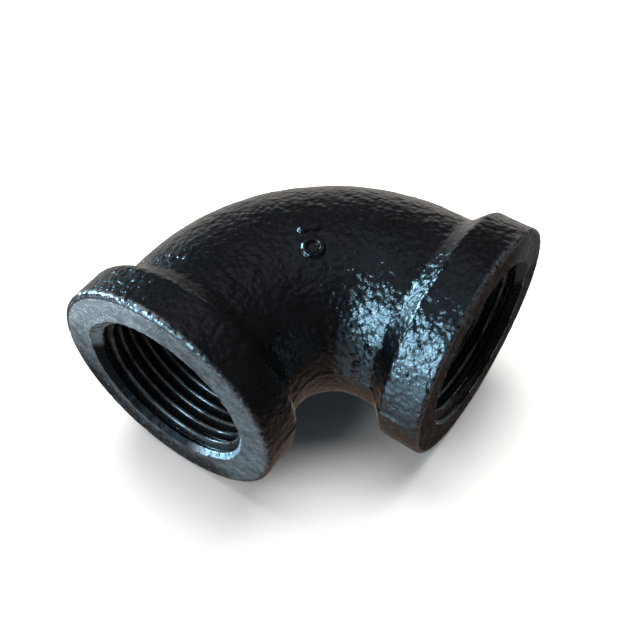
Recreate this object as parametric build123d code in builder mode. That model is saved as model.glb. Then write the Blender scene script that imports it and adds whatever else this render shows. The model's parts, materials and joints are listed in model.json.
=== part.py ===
from build123d import *
import os
from build123d.topology.shape_core import SkipClean
from math import atan, ceil, cos, degrees, radians, sin, tan

# Ninety degree pipe elbow in 3/4 inch, class 150 pattern: one malleable iron casting with a wide
# band around each end, machined end faces and an Rp 3/4 thread tapped in each port.
# The elbow lies flat on its two bands. +Z is up, the inlet opens towards -Y and the outlet
# towards +X. The origin is in the middle of the box that the elbow fills, at its lowest height.

# ---- driving dimensions, in millimetres --------------------------------------------------
centre_to_end = 33.3        # from the crossing of the two port axes to each end face
throat_radius = 5.0         # inside radius of the bend
wall = 3.1                  # wall of the bend, around the cast waterway

thread_major_d = 26.441     # Rp 3/4 internal thread: major diameter
thread_pitch = 1.814        # 14 threads to the inch
thread_flank_angle = 27.5   # half of the 55 degree thread angle
thread_length = 12.7        # full thread, measured from the end face
runout_turns = 1.5          # shallowing turns behind the full thread
land_length = 3.6           # bored wall behind the full thread, around the run-out
socket_wall = 2.78          # iron around the thread's root, behind the band
socket_chamfer = 0.8        # at the inner end of the bored socket
mouth_clearance = 0.38      # of the countersink around the thread's root, at the end face
mouth_angle = 45.0          # degrees between countersink and port axis
bore_allowance = 0.35       # left in the cored hole for the bore to clean up

band_height = 2.8           # how far the band stands out from the bend
band_width = 6.6            # from the end face to the back corner of the band
band_back_slope = 45.0      # degrees that the back of the band leans towards the bend
face_edge_radius = 0.7      # rounding between end face and band
band_shoulder_radius = 1.6  # rounding of the band's back corner
band_root_radius = 2.0      # fillet where the band meets the bend

flash_width = 0.9           # ridge that the mould joint leaves around the casting
flash_height = 0.3
flash_setback = 0.9         # from the end face to where the ridge begins on the band

mark_angle = 45.0           # place of the cast mark along the bend, from its inlet end
mark_tilt = 11.5            # degrees from the top of the bend towards its inner side
mark_height = 0.55          # above the skin of the bend
mark_root = 1.0             # sunk into the bend, so that its whole outline is joined
mark_edge_radius = 0.2
mark_ring_od = 3.4
mark_ring_id = 1.7
mark_bar_length = 3.2
mark_bar_width = 1.1
mark_gap = 0.7              # between ring and bar

# ---- sizes that follow ------------------------------------------------------------------
thread_depth = 0.640327 * thread_pitch          # Whitworth form, crest to root
thread_flat = thread_pitch / 6                  # width of the flat on crest and root
bore_radius = thread_major_d / 2 - thread_depth
body_radius = thread_major_d / 2 + socket_wall
band_radius = body_radius + band_height
bend_radius = body_radius + throat_radius       # of the centreline
waterway_radius = body_radius - wall
socket_depth = thread_length + land_length
leg_length = centre_to_end - bend_radius        # straight run from end face to bend
outer_reach = band_radius + flash_height

crossing = Vector((outer_reach - centre_to_end) / 2, (centre_to_end - outer_reach) / 2, band_radius)
inlet_centre = crossing - Vector(0, centre_to_end, 0)
outlet_centre = crossing + Vector(centre_to_end, 0, 0)
bend_centre = crossing + Vector(bend_radius, -bend_radius, 0)

# Each port has its own plane: origin on the end face, z into the elbow, x to the outside of the bend.
inlet = Plane(origin=inlet_centre, x_dir=(-1, 0, 0), z_dir=(0, 1, 0))
outlet = Plane(origin=outlet_centre, x_dir=(0, 1, 0), z_dir=(-1, 0, 0))


def waterline(inset=0):
    """Centreline of the elbow from port to port, with both ends this far behind the faces."""
    bend_start = inlet_centre + inlet.z_dir * leg_length
    bend_end = outlet_centre + outlet.z_dir * leg_length
    with BuildLine() as line:
        Line(inlet_centre + inlet.z_dir * inset, bend_start)
        TangentArc(bend_start, bend_end, tangent=inlet.z_dir)
        Line(bend_end, outlet_centre + outlet.z_dir * inset)
    return line.wires()[0]


# ---- tapping tool: the groove of one internal thread, on its own z axis ---------------------
# The groove starts outside the mouth, so that it runs in through the countersink, and the full
# turns end on the x axis, where the run-out takes over on a cone.
groove_turns = ceil(thread_length / thread_pitch + 1)
groove_start = thread_length - groove_turns * thread_pitch
groove_overlap = 0.4        # how far the tool reaches inside the bore, so that it cuts clean
flank_slope = tan(radians(thread_flank_angle))
runout_length = runout_turns * thread_pitch
runout_cone = degrees(atan((thread_depth + groove_overlap / 2) / runout_length))


def groove_section(height):
    """Section of the groove, in the plane through the axis at this height."""
    root = thread_flat / 2
    mouth = root + (thread_depth + groove_overlap) * flank_slope
    with BuildSketch(Plane(origin=(bore_radius, 0, height), x_dir=(1, 0, 0), z_dir=(0, 1, 0))) as section:
        with BuildLine():
            Polyline(
                (-groove_overlap, -mouth),
                (thread_depth, -root),
                (thread_depth, root),
                (-groove_overlap, mouth),
                close=True,
            )
        make_face()
    return section.sketch


with BuildPart() as groove:
    with BuildLine() as helix:
        Helix(thread_pitch, groove_turns * thread_pitch, bore_radius, center=(0, 0, groove_start))
    sweep(groove_section(groove_start), path=helix.wires()[0], is_frenet=True)

with BuildPart() as runout:
    with BuildLine() as cone_helix:
        Helix(
            thread_pitch, runout_length, bore_radius, center=(0, 0, thread_length), cone_angle=-runout_cone
        )
    sweep(groove_section(thread_length), path=cone_helix.wires()[0], is_frenet=True)

# ---- port collar: the band with its rounded corners and the fillet to the bend -------------
band_back = band_width + (band_radius - body_radius) * tan(radians(band_back_slope))
collar_depth = band_back + band_root_radius
band_corners = (
    ((band_radius, 0), face_edge_radius),
    ((band_radius, band_width), band_shoulder_radius),
    ((body_radius, band_back), band_root_radius),
)

with BuildPart() as collar:
    with BuildSketch(Plane.XZ) as half_section:
        with BuildLine():
            Polyline(
                (0, 0),
                (band_radius, 0),
                (band_radius, band_width),
                (body_radius, band_back),
                (body_radius, collar_depth),
                (0, collar_depth),
                close=True,
            )
        make_face()
        for corner, radius in band_corners:
            fillet(half_section.vertices().sort_by_distance(Vector(corner))[0], radius)
    revolve(axis=Axis.Z)
    with BuildSketch(Plane.XZ) as band_flash:
        with Locations((0, flash_setback)):
            Rectangle(2 * outer_reach, band_width - flash_setback, align=(Align.CENTER, Align.MIN))
    extrude(amount=flash_width / 2, both=True)

# ---- inside of the casting: a cored hole from face to face, wider between the sockets --------
with BuildPart() as core:
    with BuildSketch(inlet):
        Circle(waterway_radius)
    sweep(path=waterline())
    for port in (inlet, outlet):
        split(bisect_by=port.offset(socket_depth), keep=Keep.TOP)
    with BuildSketch(inlet):
        Circle(bore_radius - bore_allowance)
    sweep(path=waterline())

# ---- machined socket, on its own z axis with the end face at zero ----------------------------
mouth_radius = thread_major_d / 2 + mouth_clearance
mouth_depth = (mouth_radius - bore_radius) / tan(radians(mouth_angle))
from_face = (Align.CENTER, Align.CENTER, Align.MIN)

with BuildPart() as tap:
    Cylinder(bore_radius, socket_depth, align=from_face)
    add(groove.part)
    add(runout.part)

with BuildPart() as countersinks:
    Cone(mouth_radius, bore_radius, mouth_depth, align=from_face)
    with Locations((0, 0, socket_depth - socket_chamfer)):
        Cone(bore_radius, bore_radius + socket_chamfer, socket_chamfer, align=from_face)

# ---- cast mark: a raised ring and bar on the upper side of the bend --------------------------
out_of_bend = Vector(-cos(radians(mark_angle)), sin(radians(mark_angle)), 0)
mark_normal = Vector(0, 0, cos(radians(mark_tilt))) - out_of_bend * sin(radians(mark_tilt))
mark_plane = Plane(
    origin=bend_centre + out_of_bend * bend_radius + mark_normal * body_radius,
    x_dir=mark_normal.cross(out_of_bend).cross(mark_normal),
    z_dir=mark_normal,
)
bar_offset = (mark_ring_od + mark_bar_width) / 2 + mark_gap

with BuildPart() as mark:
    with BuildSketch(mark_plane):
        with Locations((-bar_offset / 2, 0)):
            Circle(mark_ring_od / 2)
            Circle(mark_ring_id / 2, mode=Mode.SUBTRACT)
        with Locations((bar_offset / 2, 0)):
            SlotOverall(mark_bar_length, mark_bar_width, rotation=90)
    extrude(amount=mark_height)
    outwards = Axis(mark_plane.origin, mark_normal)
    fillet(mark.faces().sort_by(outwards)[-2:].edges(), mark_edge_radius)
    extrude(mark.faces().sort_by(outwards)[:2], amount=mark_root)

# ---- the elbow -------------------------------------------------------------------------------
with BuildPart() as casting:
    with BuildSketch(inlet.offset(face_edge_radius)):
        Circle(body_radius)
        Rectangle(2 * (body_radius + flash_height), flash_width)
    sweep(path=waterline(face_edge_radius))
    with Locations(inlet, outlet):
        add(collar.part)
    add(mark.part)
    add(core.part, mode=Mode.SUBTRACT)
    with Locations(inlet, outlet):
        add(tap.part, mode=Mode.SUBTRACT)
    with Locations(inlet, outlet):
        add(countersinks.part, mode=Mode.SUBTRACT)

# The two halves of the mould meet in the plane of both port axes. The casting's faces end at
# this joint, so the halves are joined without merging the faces on either side of it.
mould_joint = Plane(origin=crossing)
with BuildPart() as elbow:
    with SkipClean():
        for half in (Keep.TOP, Keep.BOTTOM):
            add(split(casting.part, bisect_by=mould_joint, keep=half, mode=Mode.PRIVATE))

elbow.part.label = "elbow_casting"
os.makedirs("parts", exist_ok=True)
export_step(elbow.part, "parts/elbow_casting.step")
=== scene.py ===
import json
from math import ceil, cos, hypot, pi, radians, sin, tan

import bmesh
import bpy
import numpy as np
from mathutils import Matrix, Vector, noise


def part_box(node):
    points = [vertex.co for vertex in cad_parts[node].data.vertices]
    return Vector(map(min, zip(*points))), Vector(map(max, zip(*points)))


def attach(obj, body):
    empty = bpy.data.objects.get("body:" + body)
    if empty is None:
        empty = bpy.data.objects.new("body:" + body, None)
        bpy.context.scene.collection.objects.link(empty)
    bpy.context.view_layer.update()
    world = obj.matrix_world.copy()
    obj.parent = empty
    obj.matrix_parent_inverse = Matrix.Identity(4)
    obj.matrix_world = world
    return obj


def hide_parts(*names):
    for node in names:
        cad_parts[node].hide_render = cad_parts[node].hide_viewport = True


# Banded 3/4 inch pipe elbow: one black lacquered iron casting with machined ends and threads.
# The mesh is built in millimetres in the frame of the CAD model and scaled to metres at the end.
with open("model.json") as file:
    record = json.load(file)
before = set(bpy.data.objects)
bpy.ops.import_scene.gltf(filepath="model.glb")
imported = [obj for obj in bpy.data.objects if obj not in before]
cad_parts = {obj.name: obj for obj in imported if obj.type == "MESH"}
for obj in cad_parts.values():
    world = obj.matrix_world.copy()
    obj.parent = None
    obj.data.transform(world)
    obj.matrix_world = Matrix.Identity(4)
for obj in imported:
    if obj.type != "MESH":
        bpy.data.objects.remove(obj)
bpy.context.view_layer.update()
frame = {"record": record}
MM = 0.001

# ---- sizes read from the CAD model -----------------------------------------------------------
mounts = {mount["name"]: mount for mount in frame["record"]["mounts"]}
low, high = (np.array(corner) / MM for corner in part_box("elbow_casting"))
crossing = np.array([
    mounts["inlet"]["pos_m"][0] / MM, mounts["outlet"]["pos_m"][1] / MM, mounts["inlet"]["pos_m"][2] / MM
])
CENTRE_TO_END = high[0] - crossing[0]
BAND_R = crossing[2] - low[2]
OUTER_REACH = crossing[0] - low[0]
CREST_R = mounts["inlet"]["dims"]["r_mm"]

# ---- sizes in millimetres that the frame doesn't hold ------------------------------------------
PITCH = 1.814
THREAD_DEPTH = 0.640327 * PITCH
THREAD_LENGTH = 12.7
RUNOUT_TURNS = 1.5
THREAD_SHARPNESS = 1.16     # 1 is a plain wave, and more gives flats on crest and root
SOCKET_DEPTH = THREAD_LENGTH + 3.6
SOCKET_CHAMFER = 0.8
MOUTH_CLEARANCE = 0.38
BODY_R = BAND_R - 2.8
BEND_R = BODY_R + 5.0
WATERWAY_R = BODY_R - 3.1
BAND_WIDTH = 6.3
BAND_BACK = BAND_WIDTH + BAND_R - BODY_R
FACE_EDGE_R = 0.7
INLET_SHOULDER_R = 2.1
OUTLET_SHOULDER_R = 1.0
ROOT_R = 2.2
FLASH_HEIGHT = OUTER_REACH - BAND_R
FLASH_WIDTH = 0.9
FLASH_TOP = 0.1             # half of the ridge's width at its top
FLASH_START = (0.7, 1.8)    # depths between which the ridge rises behind the face
BURR_DEPTH = 0.8            # from the end face to the middle of the burr on the mould joint
BURR_SIZE = (0.2, 0.8)      # radius of its top and of its foot
CHIP_DEPTH = 0.16
CHIP_SIZE = 1.1
CHIP_END = (0.25, 0.95)     # depths between which the chips fade out behind the face
NOTCH_DEPTH = 0.55          # torn out of the edge of the mouth
NOTCH_SPREAD = (0.03, 0.30)  # half of its width at full depth and at its ends, in radians
SCAR_DEPTH = 0.02           # of the tool marks on the end face
CORE_ROUGHNESS = 0.12

MARK_HEIGHT = 0.5
RING_OFFSET = 1.5           # from the mark's middle to the ring's
RING_R = 1.25               # to the middle of its wall
RING_WALL = (0.20, 0.52)    # half of the wall's width at its top and at its foot
BAR_OFFSET = 1.6
BAR_HALF_LENGTH = 1.1       # without its rounded ends
BAR_WALL = (0.30, 0.65)

# Layers of the cast skin: height, size of the lumps, and how far they are sunk, as a share of the height.
SKIN_LAYERS = ((0.10, 7.0, 0.6), (0.055, 2.2, 0.6), (0.030, 0.85, 0.7))
SKIN_START = (0.05, 0.9)    # depths between which the layers rise behind the face

# ---- mesh size ---------------------------------------------------------------------------------
CELL = 0.29                 # on the skin
FINE_CELL = 0.13            # across the flash and the cast mark
FINE_REACH = 3.2            # of the fine cells from the middle of the mark, along the bend
FINE_ANGLE = 0.13           # of the fine cells around the section, in radians
MARK_SIDE = 0.08            # from the mark's middle to the fine spot on each side, in radians
FACE_ROWS = 16
WATERWAY_ROWS = 64
ROWS_PER_PITCH = 12

# ---- places ------------------------------------------------------------------------------------
UP = np.array([0, 0, 1.0])
LEG = CENTRE_TO_END - BEND_R
BEND_LENGTH = BEND_R * pi / 2
PATH_LENGTH = 2 * LEG + BEND_LENGTH
MOUTH_R = CREST_R + THREAD_DEPTH + MOUTH_CLEARANCE
inlet_centre = crossing - [0, CENTRE_TO_END, 0]
outlet_centre = crossing + [CENTRE_TO_END, 0, 0]
bend_centre = crossing + [BEND_R, -BEND_R, 0]
MARK_S = LEG + BEND_R * radians(45)
MARK_THETA = radians(90 + 11.5)
NOTCH_THETA = radians(24)

# Patches of wear and of painted highlight and sheen, as angles around a port from the outside of the bend
# over the top, in radians:
# where each patch starts, is full, begins to fade and ends.
# Chips on the inlet's upper outer edge: partly wear, partly a painted highlight.
CHIPPED_AND_HIGHLIT_EDGE = (0.2, 0.7, 1.3, 2.2)
# Bright upper outer part of the inlet's face: partly bare metal, partly a painted highlight.
WORN_AND_HIGHLIT_FACE = (0.0, 0.5, 1.1, 2.0)
SMEARED_FACE = (3.8, 4.6, 5.7, 6.28)
# Lighter upper outer part of the outlet's face: thin lacquer, partly a painted sheen.
BARE_AND_SHEEN_CORNER = (0.0, 0.3, 0.9, 1.5)
# Lower side of the thread: brighter crests, partly a painted highlight.
BURNISHED_AND_HIGHLIT_SIDE = (2.4, 3.2, 4.5, 5.3)
# Lower side of the mouth and its notch: bright torn metal, partly a painted highlight and painted glints.
TORN_AND_HIGHLIT_SIDE = (2.5, 3.0, 4.1, 4.6)
TORN_AND_GLINTING_NOTCH = (0.0, 0.2, 0.8, 1.0)
LACQUER_COVER = 0.75        # of a smeared face, where 0 is bare

# How far the tap burnished the flanks of the thread, in millimetres outwards from a crest.
CREST_BURNISH = 0.03
FIRST_CREST_BURNISH_AND_HIGHLIGHT = 0.22  # what the lower side of the first crest has on top of that, partly a painted highlight
FIRST_CREST = (2.2, 3.4)    # depths between which this extra fades out
CONE_TOLERANCE = 0.01       # for telling the countersink's points from the thread's


# ---- small tools -------------------------------------------------------------------------------
def smooth(low_edge, high_edge, value):
    """0 below the low edge, 1 above the high one, with a smooth step in between."""
    t = np.clip((value - low_edge) / (high_edge - low_edge), 0, 1)
    return t * t * (3 - 2 * t)


def patch(value, start, full, fading, end):
    """Rises from 0 to 1 between start and full, and falls back between fading and end."""
    return smooth(start, full, value) * (1 - smooth(fading, end, value))


def field(points, size, octaves=1, seed=0):
    """Smooth noise from about -1 to 1 at each point, with lumps of this size in millimetres."""
    shift = Vector((17.3 * seed, 5.1 * seed, -9.7 * seed))
    scale = 1 / size
    values = [
        noise.fractal(Vector(point) * scale + shift, 1.0, 2.0, octaves, noise_basis="PERLIN_ORIGINAL")
        for point in points.reshape(-1, 3)
    ]
    return np.array(values).reshape(points.shape[:-1])


def spaced(start, end, fine_spots, cell, fine_cell, reach):
    """Values from start to end at the cell size, and finer within reach of the fine spots."""
    values = [start]
    while values[-1] < end:
        near = min(abs(values[-1] - spot) for spot in fine_spots)
        values.append(values[-1] + (fine_cell if near < reach else cell))
    values = np.array(values)
    return start + (values - start) * (end - start) / (values[-1] - start)


def section_frame(s):
    """Centre of the section at distance s along the elbow, and the way to the outside of the bend."""
    if s <= LEG:
        return inlet_centre + [0, s, 0], np.array([-1.0, 0, 0])
    if s >= PATH_LENGTH - LEG:
        return outlet_centre - [PATH_LENGTH - s, 0, 0], np.array([0, 1.0, 0])
    angle = (s - LEG) / BEND_R
    outward = np.array([-cos(angle), sin(angle), 0])
    return bend_centre + outward * BEND_R, outward


def spokes_at(theta, outward):
    """Unit vectors at these angles, from the outside of the bend over the top."""
    return np.outer(np.cos(theta), outward) + np.outer(np.sin(theta), UP)


# ---- columns of the mesh, as angles around the section -------------------------------------------
# They are fine along the mould joint and on both sides of the cast mark's middle.
fine_angles = (0, MARK_THETA - MARK_SIDE, MARK_THETA + MARK_SIDE, pi, 2 * pi)
THETA = spaced(0, 2 * pi, fine_angles, CELL / BODY_R, FINE_CELL / BODY_R, FINE_ANGLE)[:-1]
COLUMNS = len(THETA)


# ---- outer skin ----------------------------------------------------------------------------------
def arc(centre, radius, start, end, steps):
    turn = np.radians(np.linspace(start, end, steps))
    return [(centre[0] + radius * cos(t), centre[1] + radius * sin(t)) for t in turn]


def band_profile(shoulder_r):
    """Depth and radius along the band, from the edge of the end face to the straight body."""
    slope = tan(radians(22.5))
    points = arc((FACE_EDGE_R, BAND_R - FACE_EDGE_R), FACE_EDGE_R, 180, 90, 7)
    flat_end = BAND_WIDTH - shoulder_r * slope
    steps = ceil((flat_end - FACE_EDGE_R) / CELL)
    points += [(d, BAND_R) for d in np.linspace(FACE_EDGE_R, flat_end, steps)[1:-1]]
    points += arc((flat_end, BAND_R - shoulder_r), shoulder_r, 90, 45, 8)
    root_end = BAND_BACK + ROOT_R * slope
    root = arc((root_end, BODY_R + ROOT_R), ROOT_R, 225, 270, 8)
    steps = ceil(hypot(root[0][0] - points[-1][0], root[0][1] - points[-1][1]) / CELL)
    back = np.linspace(points[-1], root[0], steps + 1)[1:-1]
    return np.array(points + [tuple(p) for p in back] + root)


def mark_height(s, theta):
    """Height of the cast mark, a ring and a bar on the upper side of the bend."""
    across = (s - MARK_S) * (BEND_R + BODY_R * np.cos(theta)) / BEND_R
    outward = BODY_R * (MARK_THETA - theta)
    from_ring = np.abs(np.hypot(across, outward + RING_OFFSET) - RING_R)
    ring_part = 1 - smooth(*RING_WALL, from_ring)
    from_bar = np.hypot(np.clip(np.abs(across) - BAR_HALF_LENGTH, 0, None), outward - BAR_OFFSET)
    bar_part = 1 - smooth(*BAR_WALL, from_bar)
    return MARK_HEIGHT * np.maximum(ring_part, bar_part)


def flash_height(points, s, radius, depth):
    """Low uneven ridge that the mould joint leaves around the casting, with a burr at the inlet's face."""
    above_joint = radius * np.sin(THETA)
    ridge = 1 - smooth(FLASH_TOP, 0.75 * FLASH_WIDTH, np.abs(above_joint))
    strength = 0.55 + 0.45 * field(points, 3.5, 2, seed=4)
    flash = FLASH_HEIGHT * ridge * np.clip(strength, 0.1, 1) * smooth(*FLASH_START, depth)
    outside_of_bend = np.cos(THETA) > 0
    burr = (1 - smooth(*BURR_SIZE, np.hypot(s - BURR_DEPTH, above_joint))) * outside_of_bend
    return np.maximum(flash, 0.9 * FLASH_HEIGHT * burr * smooth(0.05, 0.4, depth))


def skin_rings():
    """Rings of the outer skin from the inlet's face edge to the outlet's, and where they lie."""
    profile, outlet_profile = band_profile(INLET_SHOULDER_R), band_profile(OUTLET_SHOULDER_R)
    band_end = profile[-1][0]
    straight = PATH_LENGTH - 2 * band_end
    middle = spaced(0, straight, (MARK_S - band_end,), CELL, FINE_CELL, FINE_REACH)[1:-1] + band_end
    stations = [(d, r) for d, r in profile] + [(s, BODY_R) for s in middle]
    stations += [(PATH_LENGTH - d, r) for d, r in outlet_profile[::-1]]
    centres, outwards = zip(*(section_frame(s) for s, _ in stations))
    s, radius = np.array(stations).T[..., None]
    spokes = np.array([spokes_at(THETA, outward) for outward in outwards])
    points = np.array(centres)[:, None] + spokes * radius[..., None]
    depth = np.minimum(s, PATH_LENGTH - s)

    # The layers fade out at the faces, and they are sunk so that the casting stays in the CAD's size.
    layers = sum(
        height * (field(points, size, 2, seed=seed) - sunk)
        for seed, (height, size, sunk) in enumerate(SKIN_LAYERS, start=1)
    )
    chips = smooth(0.15, 0.6, field(points, CHIP_SIZE, 2, seed=9)) * (1 - smooth(*CHIP_END, depth))
    height = layers * smooth(*SKIN_START, depth) - CHIP_DEPTH * chips
    height = height + flash_height(points, s, radius, depth) + mark_height(s, THETA)
    return points + spokes * height[..., None], s


# ---- ports -----------------------------------------------------------------------------------------
class Port:
    """One end of the elbow: its frame, and the angles of the mesh columns around its own axis."""

    def __init__(self, centre, inward, turn):
        self.centre = centre
        self.inward = np.array(inward, float)
        self.local = (turn * THETA) % (2 * pi)
        self.outward = section_frame(0 if turn > 0 else PATH_LENGTH)[1]

    def points(self, depth, radius, theta=THETA):
        """Points at this depth behind the end face and this radius around the port's axis."""
        depth = np.broadcast_to(depth, radius.shape)
        spokes = spokes_at(theta, self.outward)
        return self.centre + depth[..., None] * self.inward + radius[..., None] * spokes

    def mouth_radius(self):
        """Edge of the countersink at the end face: ragged, with a torn notch on its outer side."""
        rim = self.points(0.0, np.full(COLUMNS, MOUTH_R))
        ragged = 0.22 * field(rim, 1.1, 3, seed=6) + 0.14 * field(rim, 4.5, 1, seed=7)
        away = np.abs((THETA - NOTCH_THETA + pi) % (2 * pi) - pi)
        return MOUTH_R + ragged + NOTCH_DEPTH * (1 - smooth(*NOTCH_SPREAD, away))


def thread_radius(depth, local, mouth):
    """Radius of the tapped wall at this depth and angle: rounded thread, run-out and countersink."""
    turns = (depth - THREAD_LENGTH) / PITCH - local / (2 * pi)
    off_centre = turns - np.round(turns)
    groove_turns = (depth - off_centre * PITCH - THREAD_LENGTH) / PITCH
    shape = 0.5 + 0.5 * np.cos(2 * pi * off_centre)
    shape = np.clip(0.5 + (shape - 0.5) * THREAD_SHARPNESS, 0, 1)
    fading = np.clip(1 - groove_turns / RUNOUT_TURNS, 0, 1)
    radius = CREST_R + THREAD_DEPTH * shape * fading
    chamfer = CREST_R + SOCKET_CHAMFER + depth - SOCKET_DEPTH
    return np.maximum(np.maximum(radius, mouth - depth), chamfer)


# ---- mesh assembly -----------------------------------------------------------------------------------
SKIN, FACE, THREAD, CORE, MOUTH = range(5)


class Shell:
    """Collects patches of quads and welds them along their shared edges.

    Each point carries a value that a material reads in its own way: chips on the skin, bright crests
    on the thread, tears in the iron of the mouth, and on the face lacquer above 0 and bright metal below
    it. On the lit sides these marks are partly painted highlights and sheen.
    """

    def __init__(self):
        self.points, self.faces, self.regions, self.wear = [], [], [], []
        self.count = 0

    def add(self, grid, region, closed=True, wear=0.0):
        """Adds a grid of points, whose quads are all of one region or of a region each."""
        rows, columns = grid.shape[:2]
        index = self.count + np.arange(rows * columns).reshape(rows, columns)
        if closed:
            index = np.hstack([index, index[:, :1]])
        quads = np.stack([index[:-1, :-1], index[:-1, 1:], index[1:, 1:], index[1:, :-1]], axis=-1)
        self.points.append(grid.reshape(-1, 3))
        self.faces.append(quads.reshape(-1, 4))
        self.regions.append(np.broadcast_to(region, quads.shape[:2]).reshape(-1))
        self.wear.append(np.broadcast_to(wear, (rows, columns)).reshape(-1))
        self.count += rows * columns

    def mesh(self, name):
        points, faces = np.vstack(self.points), np.vstack(self.faces)
        regions, wear = np.concatenate(self.regions), np.concatenate(self.wear)
        keys = np.round(points, 5)
        _, first, welded = np.unique(keys, axis=0, return_index=True, return_inverse=True)
        points, faces, wear = points[first], welded.reshape(-1)[faces], wear[first]
        polygons, kept = [], []
        for quad, region in zip(faces.tolist(), regions.tolist()):
            corners = list(dict.fromkeys(quad))
            if len(corners) > 2:
                polygons.append(corners)
                kept.append(region)
        mesh = bpy.data.meshes.new(name)
        mesh.from_pydata((points * MM).tolist(), [], polygons)
        mesh.polygons.foreach_set("material_index", kept)
        # The attribute holds wear, and also painted highlights and sheen on the lit sides.
        attribute = mesh.attributes.new("wear", "FLOAT", "POINT")
        attribute.data.foreach_set("value", wear)
        return mesh


def add_skin(shell):
    """Outer skin. The inlet's outer edge has bright chips in its lacquer over its upper side, partly from
    use and partly a painted highlight.
    """
    skin, s = skin_rings()
    # Chips gather on the upper side: partly wear, partly a painted highlight.
    upper = patch(THETA, *CHIPPED_AND_HIGHLIT_EDGE)
    near_face = 1 - smooth(0.15, 0.6 + 0.5 * upper, np.minimum(s, PATH_LENGTH - s))
    chipped_and_highlit = np.where(s < PATH_LENGTH / 2, 0.12 + 0.88 * upper, 0.12)
    shell.add(skin, SKIN, wear=near_face * chipped_and_highlit)
    return skin


def smeared_lacquer(share):
    """Lacquer that ran over the lower half of a face, thicker towards its outer edge."""
    return LACQUER_COVER * patch(THETA, *SMEARED_FACE) * smooth(-0.2, 0.9, share)


def inlet_face_wear_and_highlight(share):
    """Smeared below, and lighter with bright metal on the upper outer part, which is partly a painted
    highlight. The share runs from mouth to skin.
    """
    # Lighter upper outer part: partly bare metal, partly a painted highlight.
    worn_and_highlit = patch(THETA, *WORN_AND_HIGHLIT_FACE) * (0.7 + 0.5 * smooth(0.4, 1.0, share))
    return smeared_lacquer(share) - 0.5 * worn_and_highlit


def outlet_face_wear_and_sheen(share):
    """Lacquer all over, thin and lighter on the upper outer part, which is partly a painted sheen."""
    # Lighter upper outer part: thin lacquer, partly a painted sheen.
    thinner_and_sheen = 0.65 * patch(THETA, *BARE_AND_SHEEN_CORNER)
    return np.maximum(LACQUER_COVER - thinner_and_sheen, smeared_lacquer(share))


def add_face(shell, port, mouth, edge, face_wear_and_light):
    """Machined end face between the mouth and the skin, with tool marks that go inwards only."""
    rim = port.points(0.0, thread_radius(np.zeros(COLUMNS), port.local, mouth))
    share = np.linspace(0, 1, FACE_ROWS)[:, None]
    face = rim[None] * (1 - share[..., None]) + edge[None] * share[..., None]
    scars = SCAR_DEPTH * (field(face, 0.9, 2, seed=12) + 1.2) * np.sin(np.pi * share)
    face = face + scars[..., None] * port.inward
    face[0], face[-1] = rim, edge
    shell.add(face, FACE, wear=face_wear_and_light(share))


def add_thread(shell, port, mouth, torn_and_glint_share):
    """Countersink, thread and bored socket, in rows that follow the helix along crests and roots."""
    order = np.argsort(port.local)
    local = np.append(port.local[order], 2 * pi)
    column = np.append(order, order[0])
    first_turn = THREAD_LENGTH - ceil(THREAD_LENGTH / PITCH + 1) * PITCH
    rows = np.arange(0, ceil((SOCKET_DEPTH - first_turn) / PITCH * ROWS_PER_PITCH) + 1)
    start = first_turn + rows * PITCH / ROWS_PER_PITCH
    depth = np.clip(start[:, None] + PITCH * local / (2 * pi), 0, SOCKET_DEPTH)
    wall = thread_radius(depth, local, mouth[column])
    angle = THETA[column]

    # The tap burnished the crests, most of all the first one on the lower side, where the extra brightness
    # is partly a painted highlight.
    lower = patch(angle, *BURNISHED_AND_HIGHLIT_SIDE)
    reach = CREST_BURNISH + FIRST_CREST_BURNISH_AND_HIGHLIGHT * lower * (1 - smooth(*FIRST_CREST, depth))
    crest = 1 - smooth(0.0, reach, wall - CREST_R)
    burnished_and_highlit = crest * (depth < THREAD_LENGTH) * (0.25 + 0.75 * lower)
    # Bright torn metal on the lower side and at the notch is partly a painted highlight and painted
    # glints.
    torn_and_glinting = torn_and_glint_share * np.maximum(patch(angle, *TORN_AND_HIGHLIT_SIDE), 0.35 * patch(angle, *TORN_AND_GLINTING_NOTCH))
    on_cone = wall <= mouth[column] - depth + CONE_TOLERANCE
    region = np.where(on_cone[:-1, :-1] & (depth[1:, 1:] > 0), MOUTH, THREAD)
    points = port.points(depth, wall, angle)
    shell.add(points, region, closed=False, wear=np.where(on_cone, torn_and_glinting, burnished_and_highlit))


def add_waterway(shell, inlet, outlet):
    """Cast waterway, which starts in the planes where the two sockets end."""
    reach = BEND_R + WATERWAY_R * np.cos(THETA)
    first = np.arcsin((SOCKET_DEPTH - LEG) / reach)
    share = np.linspace(0, 1, WATERWAY_ROWS)[:, None]
    angle = first + (pi / 2 - 2 * first) * share
    outward = np.stack([-np.cos(angle), np.sin(angle), np.zeros_like(angle)], axis=-1)
    level, upright = np.cos(THETA)[None, :, None], np.sin(THETA)[None, :, None]
    wall = bend_centre + outward * reach[None, :, None] + UP * (WATERWAY_R * upright)
    rough = CORE_ROUGHNESS * field(wall, 3.0, 3, seed=14) * np.sin(pi * share)
    wall = wall + rough[..., None] * (outward * level + UP * upright)
    for port, edge in ((inlet, wall[0]), (outlet, wall[-1])):
        lip = port.points(SOCKET_DEPTH, np.full(COLUMNS, CREST_R + SOCKET_CHAMFER))
        shell.add(np.stack([lip, edge]), CORE)
    shell.add(wall, CORE)


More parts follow.
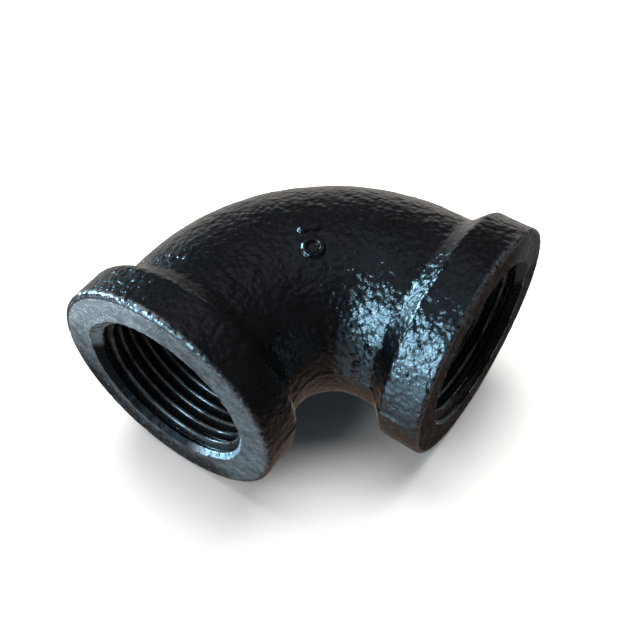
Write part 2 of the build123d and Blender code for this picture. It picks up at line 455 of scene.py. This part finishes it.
def build_casting():
    shell = Shell()
    skin = add_skin(shell)
    inlet = Port(inlet_centre, (0, 1, 0), 1)
    outlet = Port(outlet_centre, (-1, 0, 0), -1)
    ends = ((inlet, skin[0], inlet_face_wear_and_highlight, 1.0), (outlet, skin[-1], outlet_face_wear_and_sheen, 0.15))
    for port, edge, face_wear_and_light, torn_and_glint_share in ends:
        mouth = port.mouth_radius()
        add_face(shell, port, mouth, edge, face_wear_and_light)
        add_thread(shell, port, mouth, torn_and_glint_share)
    add_waterway(shell, inlet, outlet)
    elbow = bpy.data.objects.new("elbow_body", shell.mesh("elbow"))
    bpy.context.scene.collection.objects.link(elbow)
    return elbow


def face_outwards(obj):
    """Turns all faces to the outside and shades them smooth."""
    bm = bmesh.new()
    bm.from_mesh(obj.data)
    bmesh.ops.recalc_face_normals(bm, faces=bm.faces)
    bm.to_mesh(obj.data)
    bm.free()
    obj.data.polygons.foreach_set("use_smooth", [True] * len(obj.data.polygons))


# ---- materials -----------------------------------------------------------------------------------------
def mix_sockets(node):
    """Factor, first and second colour of a colour mix, and its result."""
    return node.inputs[0], node.inputs[6], node.inputs[7], node.outputs[2]


class Nodes:
    """Short way to write a material's node tree. Sizes are in millimetres."""

    def __init__(self, name):
        self.material = bpy.data.materials.new(name)
        self.material.use_nodes = True
        self.tree = self.material.node_tree
        self.shader = self.tree.nodes["Principled BSDF"]
        self.place = self.add("ShaderNodeTexCoord").outputs["Object"]

    def add(self, kind, **settings):
        node = self.tree.nodes.new(kind)
        for key, value in settings.items():
            setattr(node, key, value)
        return node

    def feed(self, value, socket):
        """Links an output to the socket, or sets the socket to a number or a colour."""
        if isinstance(value, tuple):
            socket.default_value = (*value, 1)
        elif isinstance(value, (int, float)):
            socket.default_value = value
        else:
            self.tree.links.new(value, socket)

    def shade(self, **values):
        """Feeds the shader's own sockets, with their names written as one word."""
        sockets = {socket.name.replace(" ", ""): socket for socket in self.shader.inputs}
        for name, value in values.items():
            self.feed(value, sockets[name])

    def wear(self):
        return self.add("ShaderNodeAttribute", attribute_name="wear").outputs["Fac"]

    def noise(self, size, detail=3.0, roughness=0.55, distortion=0.0):
        node = self.add("ShaderNodeTexNoise")
        node.inputs["Scale"].default_value = 1 / (size * MM)
        node.inputs["Detail"].default_value = detail
        node.inputs["Roughness"].default_value = roughness
        node.inputs["Distortion"].default_value = distortion
        self.feed(self.place, node.inputs["Vector"])
        return node.outputs["Fac"]

    def pebbles(self, size):
        """Height of round grains of this size, 1 in the middle of each."""
        node = self.add("ShaderNodeTexVoronoi", feature="SMOOTH_F1")
        node.inputs["Scale"].default_value = 1 / (size * MM)
        node.inputs["Smoothness"].default_value = 0.5
        self.feed(self.place, node.inputs["Vector"])
        return self.math("SUBTRACT", 1.0, node.outputs["Distance"])

    def ramp(self, value, *stops):
        """Colour or grey that runs through these (position, colour) stops."""
        node = self.add("ShaderNodeValToRGB")
        elements = node.color_ramp.elements
        while len(elements) < len(stops):
            elements.new(0.5)
        for element, (position, colour) in zip(elements, stops):
            element.position = position
            element.color = (*colour, 1) if isinstance(colour, tuple) else (colour, colour, colour, 1)
        self.feed(value, node.inputs["Fac"])
        return node.outputs["Color"]

    def math(self, operation, first, second):
        node = self.add("ShaderNodeMath", operation=operation)
        self.feed(first, node.inputs[0])
        self.feed(second, node.inputs[1])
        return node.outputs["Value"]

    def mix(self, factor, first, second):
        node = self.add("ShaderNodeMix", data_type="RGBA")
        factor_socket, first_socket, second_socket, result = mix_sockets(node)
        self.feed(factor, factor_socket)
        self.feed(first, first_socket)
        self.feed(second, second_socket)
        return result

    def bump(self, height, distance, normal=None):
        node = self.add("ShaderNodeBump")
        node.inputs["Distance"].default_value = distance * MM
        node.inputs["Strength"].default_value = 1.0
        self.feed(height, node.inputs["Height"])
        if normal:
            self.feed(normal, node.inputs["Normal"])
        return node.outputs["Normal"]


def lacquered_skin():
    """Glossy black lacquer over pebbled iron, with chips down to the iron at the edge of the face; the
    chips on the inlet's upper edge are partly a painted highlight.
    """
    n = Nodes("lacquered_skin")
    colour = n.ramp(n.noise(9.0, 4.0), (0.30, (0.0010, 0.0011, 0.0014)), (0.70, (0.0030, 0.0034, 0.0046)))
    specks = n.ramp(n.noise(0.45, 2.0), (0.68, 0.0), (0.76, 1.0))
    colour = n.mix(specks, colour, (0.012, 0.014, 0.018))
    # Bright bare chips: wear, and on the inlet's upper edge partly a painted highlight.
    chips = n.ramp(n.noise(0.55, 3.0, 0.6), (0.40, 0.0), (0.56, 1.0))
    chipped_and_highlit = n.math("MULTIPLY", n.wear(), chips)
    colour = n.mix(chipped_and_highlit, colour, (0.36, 0.40, 0.44))
    roughness = n.ramp(n.noise(0.9, 3.0), (0.30, 0.24), (0.75, 0.42))
    lumps = n.bump(n.noise(1.7, 1.0, 0.5), 0.20)
    pebbled = n.bump(n.pebbles(0.95), 0.16, normal=lumps)
    grained = n.bump(n.noise(0.50, 2.0, 0.5), 0.17, normal=pebbled)
    n.shade(BaseColor=colour, Metallic=chipped_and_highlit, Roughness=roughness, Normal=pebbled, SpecularIORLevel=0.4)
    n.shade(CoatWeight=0.9, CoatRoughness=0.06, CoatNormal=grained)
    return n.material


def machined_face():
    """Dull grey turned iron with curled grain, smeared with black lacquer, and bright where the metal
    shows; the bright upper outer parts of the faces are partly a painted highlight and sheen.
    """
    n = Nodes("machined_face")
    # The bright end of this ramp is bare metal, and on the inlet's upper outer part partly a painted
    # highlight.
    cover_and_highlight = n.math("ADD", n.wear(), n.noise(1.9, 5.0, 0.68))
    colour = n.ramp(
        n.math("MULTIPLY", cover_and_highlight, 0.5), (0.04, (0.25, 0.30, 0.33)), (0.18, (0.140, 0.170, 0.186)),
        (0.30, (0.066, 0.078, 0.084)), (0.42, (0.026, 0.027, 0.027)), (0.54, (0.004, 0.004, 0.005)),
    )
    curls = n.noise(1.5, 3.0, 0.5, distortion=2.5)
    scratches = n.ramp(curls, (0.54, 0.0), (0.60, 1.0), (0.66, 0.0))
    # Bright curls only where the face is bare, on the inlet's upper outer part: partly a painted
    # highlight.
    worn_and_highlit = n.ramp(n.math("SUBTRACT", 0.0, n.wear()), (0.0, 0.15), (0.4, 1.0))
    colour = n.mix(n.math("MULTIPLY", scratches, worn_and_highlit), colour, (0.62, 0.70, 0.75))
    roughness = n.ramp(n.noise(0.6, 3.0), (0.30, 0.38), (0.70, 0.62))
    normal = n.bump(n.noise(0.38, 3.0, 0.6), 0.07, normal=n.bump(curls, 0.05))
    n.shade(BaseColor=colour, Metallic=0.35, Roughness=roughness, Normal=normal, SpecularIORLevel=0.25)
    return n.material


def cut_thread():
    """Dark oiled thread, bright on the crests that the tap polished, most of all on the lower side, which
    is partly a painted highlight.
    """
    n = Nodes("cut_thread")
    colour = n.ramp(n.noise(1.6, 4.0), (0.35, (0.004, 0.004, 0.005)), (0.70, (0.012, 0.013, 0.016)))
    # Bright crests: burnish, and on the lower side partly a painted highlight.
    burnished_and_highlit = n.math("MULTIPLY", n.wear(), n.ramp(n.noise(2.5, 3.0), (0.40, 0.1), (0.65, 0.8)))
    colour = n.mix(burnished_and_highlit, colour, (0.42, 0.46, 0.50))
    roughness = n.ramp(n.noise(0.5, 3.0), (0.30, 0.20), (0.70, 0.38))
    n.shade(BaseColor=colour, Metallic=burnished_and_highlit, Roughness=roughness)
    n.shade(Normal=n.bump(n.noise(0.35, 2.0), 0.015))
    return n.material


def countersink():
    """Cone between the end face and the first thread, half polished and with tears, bright on its lower
    side and at the notch, which is partly a painted highlight and painted glints.
    """
    n = Nodes("countersink")
    # Bright metal in the tears: partly a painted highlight on the lower side and painted glints at the
    # notch.
    bare_and_glinting = n.math("MULTIPLY", n.wear(), n.ramp(n.noise(0.7, 4.0, 0.6), (0.34, 0.0), (0.48, 1.0)))
    colour = n.mix(bare_and_glinting, (0.003, 0.003, 0.004), (0.52, 0.58, 0.62))
    roughness = n.ramp(n.noise(0.5, 3.0), (0.30, 0.45), (0.70, 0.65))
    n.shade(BaseColor=colour, Metallic=bare_and_glinting, Roughness=roughness, SpecularIORLevel=0.15)
    n.shade(Normal=n.bump(n.noise(0.45, 3.0, 0.6), 0.09))
    return n.material


def cast_core():
    """Dull sooty wall that the sand core left."""
    n = Nodes("cast_core")
    colour = n.ramp(n.noise(1.8, 4.0), (0.30, (0.004, 0.004, 0.004)), (0.70, (0.016, 0.014, 0.012)))
    roughness = n.ramp(n.noise(0.7, 3.0), (0.30, 0.50), (0.70, 0.80))
    n.shade(BaseColor=colour, Roughness=roughness, Normal=n.bump(n.noise(0.6, 3.0), 0.15))
    return n.material


def pale_floor():
    n = Nodes("pale_floor")
    colour = n.ramp(n.noise(60.0, 3.0), (0.35, (0.86, 0.855, 0.845)), (0.65, (0.90, 0.897, 0.89)))
    n.shade(BaseColor=colour, Roughness=0.75, Normal=n.bump(n.noise(1.2), 0.02))
    return n.material


# ---- surroundings --------------------------------------------------------------------------------------
def make_floor():
    """Wide floor just under the elbow. Reflections don't show it, so that the lacquer stays black."""
    half_width, gap = 3.0, 0.0002
    mesh = bpy.data.meshes.new("floor")
    corners = [(x * half_width, y * half_width, 0) for x, y in ((-1, -1), (1, -1), (1, 1), (-1, 1))]
    mesh.from_pydata(corners, [], [(0, 1, 2, 3)])
    mesh.materials.append(pale_floor())
    floor = bpy.data.objects.new("floor", mesh)
    floor.location.z = low[2] * MM - gap
    floor.visible_glossy = False
    bpy.context.scene.collection.objects.link(floor)


def direction(azimuth, elevation):
    """Unit vector from the elbow. Azimuth 0 is -Y and 90 is +X."""
    a, e = radians(azimuth), radians(elevation)
    return Vector((sin(a) * cos(e), -cos(a) * cos(e), sin(e)))


def area_light(name, azimuth, elevation, distance, size, power, colour, glossy=True, diffuse=True):
    """Soft box in this direction from the elbow, with distance and size in metres."""
    data = bpy.data.lights.new(name, "AREA")
    data.shape = "RECTANGLE"
    data.size, data.size_y = size
    data.energy = power
    data.color = colour
    light = bpy.data.objects.new(name, data)
    away = direction(azimuth, elevation)
    light.location = Vector(crossing * MM) + away * distance
    light.rotation_euler = away.to_track_quat("Z", "Y").to_euler()
    light.visible_glossy = glossy
    light.visible_diffuse = diffuse
    bpy.context.scene.collection.objects.link(light)


def make_surroundings():
    """Dark room around the elbow, with a soft glow in a few directions for the lacquer to reflect."""
    world = bpy.data.worlds.new("studio")
    world.use_nodes = True
    bpy.context.scene.world = world
    tree = world.node_tree
    view = tree.nodes.new("ShaderNodeTexCoord").outputs["Generated"]

    def glow(colour, azimuth, elevation, edge, full):
        """Colour that rises from black at the edge angle from the direction to full at the other."""
        dot = tree.nodes.new("ShaderNodeVectorMath")
        dot.operation = "DOT_PRODUCT"
        dot.inputs[1].default_value = direction(azimuth, elevation)
        tree.links.new(view, dot.inputs[0])
        ramp = tree.nodes.new("ShaderNodeValToRGB")
        ramp.color_ramp.interpolation = "EASE"
        start, end = ramp.color_ramp.elements
        start.position, start.color = cos(radians(edge)), (0, 0, 0, 1)
        end.position, end.color = cos(radians(full)), (*colour, 1)
        tree.links.new(dot.outputs["Value"], ramp.inputs["Fac"])
        return ramp.outputs["Color"]

    total = tree.nodes.new("ShaderNodeRGB").outputs["Color"]
    total.default_value = (0.036, 0.036, 0.038, 1)
    for part in (
        glow((0.17, 0.20, 0.25), 0, 90, 38, 8),
        glow((0.32, 0.31, 0.29), -146, -26, 42, 18),
        glow((0.36, 0.50, 0.62), -14, -22, 46, 10),
        glow((0.10, 0.065, 0.045), 0, -90, 85, 30),
    ):
        both = tree.nodes.new("ShaderNodeMix")
        both.data_type, both.blend_type = "RGBA", "ADD"
        factor, first, second, result = mix_sockets(both)
        factor.default_value = 1.0
        tree.links.new(total, first)
        tree.links.new(part, second)
        total = result
    tree.links.new(total, tree.nodes["Background"].inputs["Color"])


def make_lights():
    """Blue windows that only show in reflections, and pale boxes that reflections don't show."""
    blue, pale = (0.42, 0.76, 1.0), (1.0, 0.985, 0.96)
    area_light("window", -19, 24, 0.9, (0.17, 0.40), 7.5, blue, diffuse=False)
    area_light("window_glow", -19, 8, 1.0, (0.70, 1.30), 7.0, blue, diffuse=False)
    area_light("side_window", -83, 10, 0.9, (0.34, 0.34), 15.0, blue, diffuse=False)
    area_light("front_fill", -25, 40, 1.2, (0.8, 0.8), 9.0, pale, glossy=False)
    area_light("overhead", -146, 62, 1.3, (1.5, 1.5), 46.0, pale, glossy=False)


def make_camera():
    """Camera at the photograph's angle. Its place is given from the crossing of the port axes."""
    azimuth, elevation, roll = radians(34.123), radians(53.134), radians(0.249)
    distance, aside, below = 148.96, 3.479, 11.444
    back = np.array([sin(azimuth) * cos(elevation), -cos(azimuth) * cos(elevation), sin(elevation)])
    level = np.array([cos(azimuth), sin(azimuth), 0.0])
    upright = np.cross(back, level)
    right = level * cos(roll) + upright * sin(roll)
    up = upright * cos(roll) - level * sin(roll)
    data = bpy.data.cameras.new("camera")
    data.sensor_width = 36.0
    data.lens = 52.0
    data.clip_start, data.clip_end = 0.005, 20.0
    camera = bpy.data.objects.new("camera", data)
    matrix = Matrix((right, up, back)).transposed().to_4x4()
    matrix.translation = Vector((crossing + right * aside - up * below + back * distance) * MM)
    camera.matrix_world = matrix
    bpy.context.scene.collection.objects.link(camera)
    bpy.context.scene.camera = camera


# ---- the scene -----------------------------------------------------------------------------------------
elbow = build_casting()
face_outwards(elbow)
for make in (lacquered_skin, machined_face, cut_thread, cast_core, countersink):
    elbow.data.materials.append(make())
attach(elbow, "root")
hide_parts("elbow_casting")

make_floor()
make_surroundings()
make_lights()
make_camera()
bpy.context.scene.view_settings.view_transform = "Standard"
